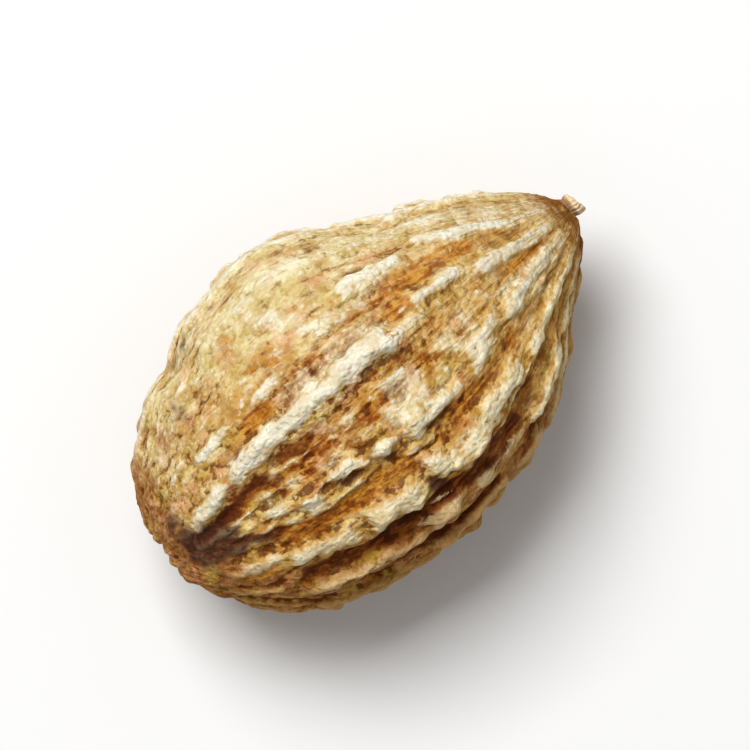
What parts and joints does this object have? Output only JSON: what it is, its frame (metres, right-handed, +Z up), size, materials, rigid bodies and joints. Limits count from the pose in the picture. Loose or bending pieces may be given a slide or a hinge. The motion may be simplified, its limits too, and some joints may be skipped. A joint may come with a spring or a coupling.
{
  "type": "sharp-leaf galangal fruit",
  "caption": "Dried spindle-shaped seed capsule with uneven lengthwise ribs, a stub of its stalk at the pointed end and a small flat spot that it rests on.",
  "frame": {"origin": "centre of the underside of the bounding box, on the surface that the fruit lies on", "axes": "+X along the fruit to its stalk, +Z up from the flat spot, +Y across the fruit"},
  "size_m": [0.0172, 0.0114, 0.0103],
  "materials": {
    "dried_skin": "dull, rough and finely grained, pale straw on the ribs and orange-brown between them",
    "dried_stalk": "dull, fibrous, pale cream"
  },
  "bodies": {
    "root": {"fruit_capsule": "dried_skin", "stalk_stub": "dried_stalk"}
  },
  "joints": []
}
